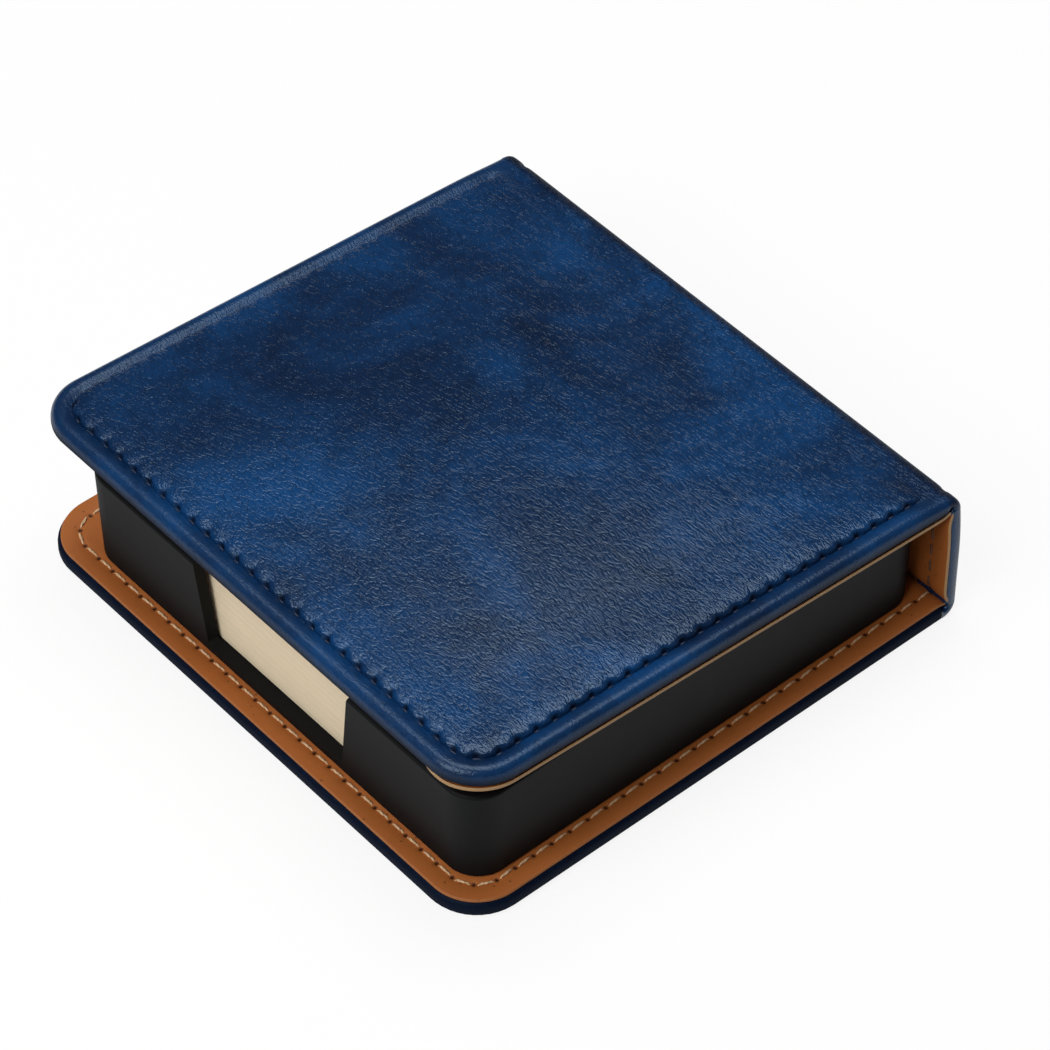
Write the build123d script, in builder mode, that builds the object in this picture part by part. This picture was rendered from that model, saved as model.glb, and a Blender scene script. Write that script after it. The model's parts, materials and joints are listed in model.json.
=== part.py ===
from build123d import *

import os
from math import atan2, cos, degrees, hypot, pi, radians, sin, tan

os.makedirs("parts", exist_ok=True)

# All sizes are millimetres and angles degrees. +Z is up, the finger notch faces -Y and the spine stands
# at +Y. The origin is the middle of the case, on the desk.

# Note sheets and the tray that holds them
sheet_side = 90.0
stack_height = 16.0
side_room = 2.5  # between the sheets and each side wall
front_room = 0.6  # between the sheets and the front wall
rear_room = 2.6  # between the sheets and the back wall
head_room = 2.1  # from the top sheet to the tray's rim
tray_wall = 2.0
tray_floor = 1.6
tray_corner_radius = 6.0
tray_draft = 1.5
tray_edge_round = 0.6
notch_sill = 0.3  # wall left standing above the floor, under the notch
notch_bottom_width = 34.3
notch_top_width = 39.0
notch_corner_radius = 1.0
tape_clearance = 0.4

# Leather case round the tray
front_margin = 4.7
right_margin = 4.7
left_margin = 9.3
back_gap = 0.6  # between the tray's rim and the spine's lining
corner_radius = 9.5
leather = 0.8
turn_in = 0.4  # leather pared thin where it folds over a board's edge
turn_in_width = 12.0
lining = 0.6
lining_margin = 0.2  # bare leather left round the lining
board = 1.8
spine_card = 1.2
edge_round = 0.9
crease = 0.3  # room between two panels at a hinge
hinge_round = 0.6
swing_clearance = 0.45  # between the lid's lining and the tray's rim as the spine swings

# Padded lid, which its stiff hinge holds a little open
lid_margin = 0.6  # the lid is this much smaller than the base on three sides
lid_tilt = 3.1
rim_rise = 0.3  # leather rolled over the lid's edge
rim_round = 1.6
foam_height = 3.0
foam_wall = 0.4  # leather between the stitch channel and the foam
crown_run = 26.0  # from the foam's sewn edge to its flat top
hinge_run = 12.0  # the same at the hinge edge, which isn't sewn
hinge_edge = 0.8  # from the hinge edge to the foam
crown_land = 5.0  # level strip between the shoulder and the flat top
crown_round = 6.0  # how much rounder the crown's corners grow up its shoulder
crown_steps = 4

# Sewn seams
seam_inset = 3.9
stitch_pitch = 3.8
stitch_length = 2.9
stitch_taper = 0.5
thread_width = 0.55
thread_height = 0.3
channel_width = 1.1
channel_depth = 0.5

# Worked out from the sizes above
tray_width = sheet_side + 2 * (side_room + tray_wall)
tray_depth = sheet_side + front_room + rear_room + 2 * tray_wall
tray_height = tray_floor + stack_height + head_room
rim_spread = tray_height * tan(radians(tray_draft))
base_thickness = leather + board + turn_in + lining
spine_thickness = leather + spine_card + turn_in + lining
lid_thickness = lining + turn_in + board + leather + rim_rise
case_width = left_margin + tray_width + right_margin
case_depth = front_margin + tray_depth + rim_spread + back_gap + spine_thickness
back = case_depth / 2
front = -back
tray_x = (left_margin - right_margin) / 2
tray_y = front + front_margin + tray_depth / 2
tray_rim_back = tray_y + tray_depth / 2 + rim_spread
tray_rim = base_thickness + tray_height

# The outer leather bends in a quarter round at each hinge. Its middle keeps its length as the panels
# swing, which puts each hinge line a little inside the corner.
hinge_radius = spine_thickness + crease
hinge_inset = hinge_radius - pi / 4 * (hinge_radius - leather / 2)
hinge_y = back - hinge_inset
rim_swing = hypot(hinge_y - tray_rim_back, tray_rim - hinge_inset)
lid_underside = hinge_inset + rim_swing + swing_clearance
case_height = lid_underside + lid_thickness
base_back = back - hinge_radius
spine_bottom = hinge_radius
spine_top = case_height - hinge_radius
spine_height = spine_top - spine_bottom
cut_past = 1.0  # how far a cut runs past the face that it opens

# The lid's own plane lies on its hinge line: its Y runs towards the hinge and its Z out of the leather.
lid_normal = (0, sin(radians(lid_tilt)), cos(radians(lid_tilt)))
lid_plane = Plane(origin=(0, hinge_y, case_height - hinge_inset), x_dir=(1, 0, 0), z_dir=lid_normal)
lid_axis = Axis(lid_plane.origin, lid_normal)
lid_width = case_width - 2 * lid_margin
lid_top = hinge_inset
lid_bottom = lid_top - lid_thickness
lid_back = hinge_inset - hinge_radius
lid_front = lid_back - (base_back - front - lid_margin)
lid_board_bottom = lid_bottom + lining + turn_in
lid_board_top = lid_board_bottom + board


def panel(plane, width, near, far, radius):
    """Outline of a panel, round at its two front corners and square at the hinge edge."""
    with BuildSketch(plane) as outline:
        with Locations((0, (near + far) / 2)):
            Rectangle(width, far - near)
        fillet(outline.vertices().group_by(Axis.Y)[0], radius)
    return outline.sketch


def base_panel(height, inset, far=base_back):
    """The base's outline at a height, drawn in by an inset on its three free sides."""
    radius = max(corner_radius - inset, lining)
    return panel(Plane.XY.offset(height), case_width - 2 * inset, front + inset, far, radius)


def lid_panel(height, inset, far=lid_back):
    """The lid's outline, the same way, in the lid's own plane."""
    radius = max(corner_radius - inset, lining)
    return panel(lid_plane.offset(height), lid_width - 2 * inset, lid_front + inset, far, radius)


def channel(plane, width, near, far):
    """Band along a panel's three free sides, where its seam is sewn."""
    outer = seam_inset - channel_width / 2
    inner = seam_inset + channel_width / 2
    with BuildSketch(plane) as band:
        add(panel(Plane.XY, width - 2 * outer, near + outer, far, corner_radius - outer))
        add(panel(Plane.XY, width - 2 * inner, near + inner, far, corner_radius - inner), mode=Mode.SUBTRACT)
    return band.sketch


def stitch_places(width, near, far):
    """Places of the stitches along a seam, in its panel's plane."""
    side = width / 2 - seam_inset
    start = near + seam_inset
    corners = [(side, far), (side, start), (-side, start), (-side, far)]
    with BuildLine() as seam:
        FilletPolyline(*corners, radius=corner_radius - seam_inset)
    path = seam.wires()[0]
    count = int(path.length / stitch_pitch)
    places = []
    for number in range(count):
        distance = (number + 0.5) * path.length / count
        heading = path.tangent_at(distance, position_mode=PositionMode.LENGTH)
        angle = degrees(atan2(heading.Y, heading.X))
        places.append(Location(path.position_at(distance, position_mode=PositionMode.LENGTH), (0, 0, angle)))
    return places


def bend(start, end, heading, outside, inside):
    """Section of a strip that bends round a hinge, between two depths below the outer leather."""
    with BuildSketch(Plane.YZ) as section:
        with BuildLine():
            outer = TangentArc(start(outside), end(outside), tangent=heading)
            inner = TangentArc(start(inside), end(inside), tangent=heading)
            Line(outer @ 0, inner @ 0)
            Line(outer @ 1, inner @ 1)
        make_face()
    return section.sketch


def bend_end(place, start, end, heading):
    """Section at a place along a hinge that fills its hollow, from the leather to the inner corner."""
    with BuildSketch(Plane.YZ.offset(place)) as section:
        with BuildLine():
            inner = TangentArc(start(leather), end(leather), tangent=heading)
            Polyline(inner @ 1, end(spine_thickness), start(spine_thickness), inner @ 0)
        make_face()
    return section.sketch


# Outline of one stitch, pointed where the thread dives into its needle holes
stitch_outline = [
    (-stitch_length / 2, 0),
    (-stitch_length / 2 + stitch_taper, thread_width / 2),
    (stitch_length / 2 - stitch_taper, thread_width / 2),
    (stitch_length / 2, 0),
    (stitch_length / 2 - stitch_taper, -thread_width / 2),
    (-stitch_length / 2 + stitch_taper, -thread_width / 2),
]

# Base leather: wrapped round the board from below, turned in on top and grooved underneath for its seam
with BuildPart() as base_leather:
    extrude(base_panel(0, 0), amount=leather + board + turn_in)
    level_edges = base_leather.edges().group_by(Axis.Z)
    fillet(level_edges[0].sort_by(Axis.Y)[:-1] + level_edges[-1].sort_by(Axis.Y)[:-1], edge_round)
    extrude(base_panel(leather, leather, base_back + cut_past), amount=board, mode=Mode.SUBTRACT)
    opening = base_panel(leather + board, turn_in_width, base_back + cut_past)
    extrude(opening, amount=turn_in, mode=Mode.SUBTRACT)
    groove = channel(Plane.XY, case_width, front, base_back + cut_past)
    extrude(groove, amount=channel_depth, mode=Mode.SUBTRACT)
base_leather.part.label = "base_leather"
export_step(base_leather.part, "parts/base_leather.step")

# Base board: stiff card inside the leather
with BuildPart() as base_board:
    extrude(base_panel(leather, leather), amount=board)
base_board.part.label = "base_board"
export_step(base_board.part, "parts/base_board.step")

# Base lining: glued over the turn-ins and pressed down on the board between them
with BuildPart() as base_lining:
    extrude(base_panel(base_thickness - lining, lining_margin), amount=lining)
    extrude(base_panel(leather + board, turn_in_width), amount=turn_in)
    sunk = base_panel(base_thickness - turn_in, turn_in_width + lining, base_back + cut_past)
    extrude(sunk, amount=turn_in, mode=Mode.SUBTRACT)
base_lining.part.label = "base_lining"
export_step(base_lining.part, "parts/base_lining.step")

# Base seam: stitches on the lining, and the same stitches in the channel underneath
base_stitches = stitch_places(case_width, front, base_back)

with BuildPart() as base_thread_inside:
    with BuildSketch(Plane.XY.offset(base_thickness)):
        with Locations(*base_stitches):
            Polygon(*stitch_outline)
    extrude(amount=thread_height)
base_thread_inside.part.label = "base_thread_inside"
export_step(base_thread_inside.part, "parts/base_thread_inside.step")

with BuildPart() as base_thread_outside:
    with BuildSketch(Plane.XY.offset(channel_depth)):
        with Locations(*base_stitches):
            Polygon(*stitch_outline)
    extrude(amount=-thread_height)
base_thread_outside.part.label = "base_thread_outside"
export_step(base_thread_outside.part, "parts/base_thread_outside.step")

# Tape: adhesive sheet in the lining's sunk middle, flush with the lining round it
with BuildPart() as tray_tape:
    tape_inset = turn_in_width + lining + tape_clearance
    extrude(base_panel(base_thickness - turn_in, tape_inset, base_back - turn_in_width), amount=turn_in)
tray_tape.part.label = "tray_tape"
export_step(tray_tape.part, "parts/tray_tape.step")

# Tray: moulded with draft, round corners and a trapezoid finger notch in its front wall
with BuildPart() as tray:
    with BuildSketch(Plane.XY.offset(base_thickness)):
        with Locations((tray_x, tray_y)):
            RectangleRounded(tray_width, tray_depth, tray_corner_radius)
    extrude(amount=tray_height, taper=-tray_draft)
    with BuildSketch(Plane.XY.offset(base_thickness + tray_floor)):
        with Locations((tray_x, tray_y)):
            RectangleRounded(
                tray_width - 2 * tray_wall,
                tray_depth - 2 * tray_wall,
                tray_corner_radius - tray_wall,
            )
    extrude(amount=tray_height, taper=-tray_draft, mode=Mode.SUBTRACT)
    with BuildSketch(Plane.XZ.offset(-tray_y)) as notch:
        with BuildLine():
            Polyline(
                (tray_x - notch_bottom_width / 2, base_thickness + tray_floor + notch_sill),
                (tray_x + notch_bottom_width / 2, base_thickness + tray_floor + notch_sill),
                (tray_x + notch_top_width / 2, tray_rim),
                (tray_x - notch_top_width / 2, tray_rim),
                close=True,
            )
        make_face()
        fillet(notch.vertices().group_by(Axis.Y)[0], notch_corner_radius)
    extrude(amount=tray_depth, mode=Mode.SUBTRACT)
    fillet(tray.faces().sort_by(Axis.Z)[0].edges(), tray_edge_round)
    fillet(tray.faces().sort_by(Axis.Z)[-1].edges().filter_by(Axis.Y, reverse=True), tray_edge_round)
tray.part.label = "tray"
export_step(tray.part, "parts/tray.step")

# Note sheets: one block of loose paper
with BuildPart() as note_sheets:
    with BuildSketch(Plane.XY.offset(base_thickness + tray_floor)):
        with Locations((tray_x, tray_y + (front_room - rear_room) / 2)):
            Rectangle(sheet_side, sheet_side)
    extrude(amount=stack_height)
note_sheets.part.label = "note_sheets"
export_step(note_sheets.part, "parts/note_sheets.step")

# Spine leather: wrapped round the spine's card at both ends, with a stitch channel near each end
spine_wrap = leather + spine_card + turn_in
seam_side = case_width / 2 - seam_inset

with BuildPart() as spine_leather:
    with BuildSketch(Plane.XY.offset(spine_bottom)) as spine_section:
        with Locations((0, back - spine_wrap / 2)):
            Rectangle(case_width, spine_wrap)
        fillet(spine_section.vertices(), edge_round)
        with Locations((0, back - leather - spine_card / 2)):
            Rectangle(case_width - 2 * leather, spine_card, mode=Mode.SUBTRACT)
        with Locations((0, back - spine_wrap + turn_in / 2)):
            Rectangle(case_width - 2 * turn_in_width, turn_in, mode=Mode.SUBTRACT)
        with Locations((seam_side, back), (-seam_side, back)):
            Rectangle(channel_width, 2 * channel_depth, mode=Mode.SUBTRACT)
    extrude(amount=spine_height)
spine_leather.part.label = "spine_leather"
export_step(spine_leather.part, "parts/spine_leather.step")

# Spine board: narrow stiff card
with BuildPart() as spine_board:
    with BuildSketch(Plane.XY.offset(spine_bottom)):
        with Locations((0, back - leather - spine_card / 2)):
            Rectangle(case_width - 2 * leather, spine_card)
    extrude(amount=spine_height)
spine_board.part.label = "spine_board"
export_step(spine_board.part, "parts/spine_board.step")

# Spine lining: over the turned-in ends, pressed down on the card between them
with BuildPart() as spine_lining:
    with BuildSketch(Plane.XY.offset(spine_bottom)):
        with Locations((0, back - spine_wrap - lining / 2)):
            Rectangle(case_width - 2 * lining_margin, lining)
        with Locations((0, back - spine_wrap + turn_in / 2)):
            Rectangle(case_width - 2 * turn_in_width, turn_in)
        with Locations((0, back - spine_thickness + turn_in / 2)):
            Rectangle(case_width - 2 * (turn_in_width + lining), turn_in, mode=Mode.SUBTRACT)
    extrude(amount=spine_height)
spine_lining.part.label = "spine_lining"
export_step(spine_lining.part, "parts/spine_lining.step")

# Spine seams: a short row of stitches near each end, inside and outside
spine_stitch_count = int(spine_height / stitch_pitch)
spine_middle = (spine_bottom + spine_top) / 2
spine_inside = Plane(origin=(0, back - spine_thickness, spine_middle), x_dir=(1, 0, 0), z_dir=(0, -1, 0))
spine_outside = Plane(origin=(0, back - channel_depth, spine_middle), x_dir=(-1, 0, 0), z_dir=(0, 1, 0))

with BuildPart() as spine_thread_inside:
    with BuildSketch(spine_inside):
        with GridLocations(2 * seam_side, stitch_pitch, 2, spine_stitch_count):
            Polygon(*stitch_outline, rotation=90)
    extrude(amount=thread_height)
spine_thread_inside.part.label = "spine_thread_inside"
export_step(spine_thread_inside.part, "parts/spine_thread_inside.step")

with BuildPart() as spine_thread_outside:
    with BuildSketch(spine_outside):
        with GridLocations(2 * seam_side, stitch_pitch, 2, spine_stitch_count):
            Polygon(*stitch_outline, rotation=90)
    extrude(amount=thread_height)
spine_thread_outside.part.label = "spine_thread_outside"
export_step(spine_thread_outside.part, "parts/spine_thread_outside.step")

# Lid board: stiff card, as in the base
with BuildPart() as lid_board:
    extrude(lid_panel(lid_board_bottom, leather), amount=board)
lid_board.part.label = "lid_board"
export_step(lid_board.part, "parts/lid_board.step")


def crown(height):
    """Sections of the padded crown, from its sewn edge up to its flat top."""
    sewn_edge = seam_inset + channel_width / 2 + foam_wall
    turns = [pi / 2 * step / crown_steps for step in range(crown_steps + 1)]
    levels = [(foam_height * sin(turn), 1 - cos(turn), 0) for turn in turns]
    levels.append((foam_height, 1, crown_land))
    sections = []
    for rise, gain, land in levels:
        inset = sewn_edge + crown_run * gain + land
        near = lid_front + inset
        far = lid_back - hinge_edge - hinge_run * gain - land
        with BuildSketch(lid_plane.offset(height + rise)) as section:
            with Locations((0, (near + far) / 2)):
                Rectangle(lid_width - 2 * inset, far - near)
            fillet(section.vertices().group_by(Axis.Y)[0], corner_radius - seam_inset + crown_round * gain)
            fillet(section.vertices().group_by(Axis.Y)[-1], hinge_edge + crown_round * gain)
        sections.append(section.sketch)
    return sections


# Lid foam: pad with a crown, inside the stitch channel
with BuildPart() as lid_foam:
    loft(crown(lid_board_top))
lid_foam.part.label = "lid_foam"
export_step(lid_foam.part, "parts/lid_foam.step")

# Lid leather: rolled rim, stitch channel and crown, wrapped round the board and turned in underneath
with BuildPart() as lid_leather:
    extrude(lid_panel(lid_bottom + lining, 0), amount=lid_thickness - lining)
    rim = lid_leather.faces().sort_by(lid_axis)
    fillet(rim[-1].edges().sort_by(Axis.Y)[:-1], rim_round)
    fillet(lid_leather.faces().sort_by(lid_axis)[0].edges().sort_by(Axis.Y)[:-1], edge_round)
    loft(crown(lid_board_top + leather))
    groove = channel(lid_plane.offset(lid_top - channel_depth), lid_width, lid_front, lid_back + cut_past)
    extrude(groove, amount=channel_depth + cut_past, mode=Mode.SUBTRACT)
    extrude(lid_panel(lid_board_bottom, leather, lid_back + cut_past), amount=board, mode=Mode.SUBTRACT)
    opening = lid_panel(lid_bottom + lining, turn_in_width, lid_back + cut_past)
    extrude(opening, amount=turn_in, mode=Mode.SUBTRACT)
    add(lid_foam.part, mode=Mode.SUBTRACT)
lid_leather.part.label = "lid_leather"
export_step(lid_leather.part, "parts/lid_leather.step")

# Lid lining: under the board, pressed up between the turn-ins
with BuildPart() as lid_lining:
    extrude(lid_panel(lid_bottom, lining_margin), amount=lining)
    extrude(lid_panel(lid_bottom + lining, turn_in_width), amount=turn_in)
    sunk = lid_panel(lid_bottom, turn_in_width + lining, lid_back + cut_past)
    extrude(sunk, amount=turn_in, mode=Mode.SUBTRACT)
lid_lining.part.label = "lid_lining"
export_step(lid_lining.part, "parts/lid_lining.step")

# Lid seam: stitches in the channel on top, and the same stitches on the lining underneath
lid_stitches = stitch_places(lid_width, lid_front, lid_back)

with BuildPart() as lid_thread_outside:
    with BuildSketch(lid_plane.offset(lid_top - channel_depth)):
        with Locations(*lid_stitches):
            Polygon(*stitch_outline)
    extrude(amount=thread_height)
lid_thread_outside.part.label = "lid_thread_outside"
export_step(lid_thread_outside.part, "parts/lid_thread_outside.step")

with BuildPart() as lid_thread_inside:
    with BuildSketch(lid_plane.offset(lid_bottom)):
        with Locations(*lid_stitches):
            Polygon(*stitch_outline)
    extrude(amount=-thread_height)
lid_thread_inside.part.label = "lid_thread_inside"
export_step(lid_thread_inside.part, "parts/lid_thread_inside.step")


# Lower hinge: the leather and, inside it, the lining bend up from the base to the spine
def base_edge(depth):
    """Point on the base's hinge edge, at a depth below the outer leather."""
    return (base_back, depth)


def spine_low_edge(depth):
    """Point on the spine's lower edge, at a depth below the outer leather."""
    return (back - depth, spine_bottom)


lower_fold = case_width / 2 - edge_round  # where the leather folds in at each end

with BuildPart() as lower_hinge_leather:
    extrude(bend(base_edge, spine_low_edge, (1, 0), 0, leather), amount=case_width / 2, both=True)
    strip_ends = lower_hinge_leather.faces().filter_by(Axis.X)
    fillet([strip_end.edges().sort_by(SortBy.LENGTH)[-1] for strip_end in strip_ends], hinge_round)
    extrude(bend_end(lower_fold, base_edge, spine_low_edge, (1, 0)), amount=-leather)
    extrude(bend_end(-lower_fold, base_edge, spine_low_edge, (1, 0)), amount=leather)
lower_hinge_leather.part.label = "lower_hinge_leather"
export_step(lower_hinge_leather.part, "parts/lower_hinge_leather.step")

with BuildPart() as lower_hinge_lining:
    strip = bend(base_edge, spine_low_edge, (1, 0), leather, leather + lining)
    extrude(strip, amount=lower_fold - leather, both=True)
lower_hinge_lining.part.label = "lower_hinge_lining"
export_step(lower_hinge_lining.part, "parts/lower_hinge_lining.step")


# Upper hinge: the same, from the spine to the tilted lid
def spine_high_edge(depth):
    """Point on the spine's upper edge, at a depth below the outer leather."""
    return (back - depth, spine_top)


def lid_edge(depth):
    """Point on the lid's hinge edge, at a depth below the outer leather."""
    corner = lid_plane.from_local_coords(Vector(0, lid_back, lid_top - depth))
    return (corner.Y, corner.Z)


upper_fold = lid_width / 2 - edge_round

with BuildPart() as upper_hinge_leather:
    extrude(bend(spine_high_edge, lid_edge, (0, 1), 0, leather), amount=lid_width / 2, both=True)
    strip_ends = upper_hinge_leather.faces().filter_by(Axis.X)
    fillet([strip_end.edges().sort_by(SortBy.LENGTH)[-1] for strip_end in strip_ends], hinge_round)
    extrude(bend_end(upper_fold, spine_high_edge, lid_edge, (0, 1)), amount=-leather)
    extrude(bend_end(-upper_fold, spine_high_edge, lid_edge, (0, 1)), amount=leather)
upper_hinge_leather.part.label = "upper_hinge_leather"
export_step(upper_hinge_leather.part, "parts/upper_hinge_leather.step")

with BuildPart() as upper_hinge_lining:
    strip = bend(spine_high_edge, lid_edge, (0, 1), leather, leather + lining)
    extrude(strip, amount=upper_fold - leather, both=True)
upper_hinge_lining.part.label = "upper_hinge_lining"
export_step(upper_hinge_lining.part, "parts/upper_hinge_lining.step")
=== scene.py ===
import json
from math import ceil, cos, pi, radians, sin

import bpy
import numpy as np
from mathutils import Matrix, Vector
from mathutils.bvhtree import BVHTree
from mathutils.geometry import delaunay_2d_cdt


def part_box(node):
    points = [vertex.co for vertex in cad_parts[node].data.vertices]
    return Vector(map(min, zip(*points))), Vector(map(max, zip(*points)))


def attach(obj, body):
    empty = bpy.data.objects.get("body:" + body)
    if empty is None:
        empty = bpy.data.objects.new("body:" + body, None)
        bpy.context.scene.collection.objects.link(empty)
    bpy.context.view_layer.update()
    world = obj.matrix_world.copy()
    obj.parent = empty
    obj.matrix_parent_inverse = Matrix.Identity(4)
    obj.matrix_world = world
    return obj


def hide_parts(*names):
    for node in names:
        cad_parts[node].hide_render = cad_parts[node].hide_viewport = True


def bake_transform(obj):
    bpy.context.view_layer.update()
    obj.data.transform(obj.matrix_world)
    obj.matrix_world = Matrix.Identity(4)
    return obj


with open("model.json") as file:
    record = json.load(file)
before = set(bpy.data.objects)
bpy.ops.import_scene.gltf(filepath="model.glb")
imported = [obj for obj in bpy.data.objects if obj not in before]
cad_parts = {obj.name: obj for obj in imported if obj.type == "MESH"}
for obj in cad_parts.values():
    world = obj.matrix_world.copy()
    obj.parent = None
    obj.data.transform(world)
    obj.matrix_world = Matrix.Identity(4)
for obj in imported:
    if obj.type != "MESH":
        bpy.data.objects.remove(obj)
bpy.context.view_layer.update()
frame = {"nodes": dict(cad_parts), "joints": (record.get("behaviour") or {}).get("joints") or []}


# Boards: three stiff grey cards, one each in the base, the spine and the lid. The leather is glued round them, so
# they only give the panels their thickness. All lengths here are millimetres until a mesh is made.
class Shade:
    """A value in a material. Sums written with it add Math nodes, and node() adds any other node."""

    def __init__(self, tree, socket=None):
        self.tree = tree
        self.socket = socket

    def node(self, kind, settings=(), sockets=(), output=0):
        made = self.tree.nodes.new(kind)
        for name, value in dict(settings).items():
            if name == "stops":
                stops = made.color_ramp.elements
                stops[0].position, stops[1].position = value[0][0], value[-1][0]
                for place, colour in value[1:-1]:
                    stops.new(place)
                for stop, (place, colour) in zip(stops, value):
                    stop.color = (*colour, 1)
            else:
                setattr(made, name, value)
        for name, value in dict(sockets).items():
            if isinstance(value, Shade):
                self.tree.links.new(value.socket, made.inputs[name])
            else:
                made.inputs[name].default_value = value
        return Shade(self.tree, made.outputs[output]) if len(made.outputs) else made

    def math(self, operation, *values):
        return self.node("ShaderNodeMath", {"operation": operation}, dict(enumerate(values)))

    def __add__(self, other):
        return self.math("ADD", self, other)

    def __radd__(self, other):
        return self.math("ADD", other, self)

    def __sub__(self, other):
        return self.math("SUBTRACT", self, other)

    def __rsub__(self, other):
        return self.math("SUBTRACT", other, self)

    def __mul__(self, other):
        return self.math("MULTIPLY", self, other)

    def __rmul__(self, other):
        return self.math("MULTIPLY", other, self)

    def __pow__(self, other):
        return self.math("POWER", self, other)

    def size(self):
        """The value without its sign."""
        return self.math("ABSOLUTE", self)

    def limit(self, low, high):
        """The value spread from low to high onto 0 to 1, with soft ends."""
        return self.node(
            "ShaderNodeMapRange",
            {"interpolation_type": "SMOOTHSTEP"},
            {"Value": self, "From Min": low, "From Max": high},
        )

    def mix(self, first, second):
        """Colour between two, by this value."""
        return self.node("ShaderNodeMix", {"data_type": "RGBA"}, {0: self, 6: first, 7: second}, 2)

    def noise(self, scale, detail=2.0, roughness=0.5, distortion=0.0):
        """Noise at this place, with about scale blotches to the millimetre."""
        return self.node(
            "ShaderNodeTexNoise",
            {},
            {"Vector": self, "Scale": scale, "Detail": detail, "Roughness": roughness, "Distortion": distortion},
        )

    def stretch(self, scale, turn=0.0):
        """This place drawn out by a scale along each axis, turned about Z."""
        return self.node(
            "ShaderNodeMapping",
            {},
            {"Vector": self, "Rotation": (0, 0, turn), "Scale": scale},
        )


def finish(name):
    """New material, with its place on the object in millimetres."""
    material = bpy.data.materials.new(name)
    material.use_nodes = True
    material.node_tree.nodes.clear()
    start = Shade(material.node_tree)
    place = start.node("ShaderNodeTexCoord", output="Object")
    return material, place.stretch((1000, 1000, 1000))


def surface(place, height, strength, depth, dull=0.0, **sockets):
    """Ends a material: its shader, with a bump of a depth in millimetres. Dull is a share of plain matt in it."""
    bump = place.node("ShaderNodeBump", {}, {"Strength": strength, "Distance": depth / 1000, "Height": height})
    values = {name.replace("_", " ").title().replace("Ior", "IOR"): value for name, value in sockets.items()}
    shader = place.node("ShaderNodeBsdfPrincipled", {}, {"Normal": bump, **values})
    if dull:
        matt = place.node("ShaderNodeBsdfDiffuse", {}, {"Color": values["Base Color"], "Normal": bump})
        shader = place.node("ShaderNodeMixShader", {}, {0: dull, 1: shader, 2: matt})
    place.node("ShaderNodeOutputMaterial", {}, {"Surface": shader})


card, place = finish("grey_card")
fibre = place.stretch((1, 4, 1)).noise(1.5, 4)
surface(
    place,
    fibre,
    0.3,
    0.1,
    base_color=fibre.mix((0.30, 0.28, 0.25, 1), (0.42, 0.40, 0.36, 1)),
    roughness=0.85 + 0.1 * fibre,
)
for board in ("base_board", "spine_board", "lid_board"):
    frame["nodes"][board].data.materials.clear()
    frame["nodes"][board].data.materials.append(card)

# Base leather: one sheet of blue leather, mottled and grained, glued under the base's card, wrapped round its edges and
# turned in on top. A channel near the edge takes the seam's underside.
leather, place = finish("blue_leather")
cloud = place.stretch((1.0, 1.25, 1.0), 0.5).noise(0.030, 5, 0.55, 0.9)
smoke = place.stretch((1.0, 0.55, 1.0), -0.4).noise(0.075, 6, 0.62, 0.6)
dust = place.noise(0.9, 3, 0.6)
tone = cloud * 0.62 + smoke * 0.30 + dust * 0.08
colour = place.node(
    "ShaderNodeValToRGB",
    {
        "stops": [
            (0.36, (0.0026, 0.0120, 0.0410)),
            (0.44, (0.0030, 0.0188, 0.0640)),
            (0.52, (0.0034, 0.0295, 0.0990)),
            (0.60, (0.0038, 0.0425, 0.1420)),
            (0.70, (0.0042, 0.0540, 0.1800)),
        ]
    },
    {"Fac": tone},
)
taut = place.node("ShaderNodeAttribute", {"attribute_name": "taut"}, output="Fac")
# This value on each point of the leather's meshes is painted shade: it darkens the colour, dulls it to matt and
# roughens it on the undersides and rolled edges, over the hinge and in the bites at the stitches.
deep = place.node("ShaderNodeAttribute", {"attribute_name": "deep"}, output="Fac")
drift = place.node(
    "ShaderNodeVectorMath",
    {"operation": "MULTIPLY_ADD"},
    {
        0: place.node("ShaderNodeTexNoise", {}, {"Vector": place, "Scale": 0.35, "Detail": 2.0}, "Color"),
        1: (1.1, 1.1, 1.1),
        2: place,
    },
)
fold = 1 - (drift.stretch((0.09, 0.42, 0.42), 0.12).noise(1.0, 3, 0.6) - 0.5).size().limit(0.0, 0.045)
grain_place = drift.stretch((0.40, 1.3, 1.1), 0.10)
cell = grain_place.node(
    "ShaderNodeTexVoronoi", {"feature": "DISTANCE_TO_EDGE"}, {"Vector": grain_place, "Scale": 1.15}, "Distance"
).limit(0.0, 0.18)
fine_place = drift.stretch((0.8, 1.5, 1.3), -0.2)
fine_cell = fine_place.node(
    "ShaderNodeTexVoronoi", {"feature": "DISTANCE_TO_EDGE"}, {"Vector": fine_place, "Scale": 1.5}, "Distance"
).limit(0.0, 0.25)
pore = place.noise(1.2, 2, 0.5)
relief = cell * 0.62 + fine_cell * 0.28 - fold * 0.55 + pore * 0.12
flatter = 1 - taut * 0.8
# The colour darkens in the grain's cracks and creases, which are the leather's own, and more with the painted shade.
darker = ((1.15 - cell - 0.15 * fine_cell + 0.7 * fold) * 0.28 * flatter + deep * 0.95).limit(0.0, 1.1)
surface(
    place,
    relief * flatter,
    1.0,
    0.046,
    dull=deep * 0.85,
    base_color=darker.mix(colour, (0.0026, 0.0052, 0.0160, 1)),
    roughness=0.14 + 0.06 * dust + 0.3 * deep + 0.16 * taut,
    specular_ior_level=0.46,
    specular_tint=(0.60, 0.80, 1.0, 1),
)


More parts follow.
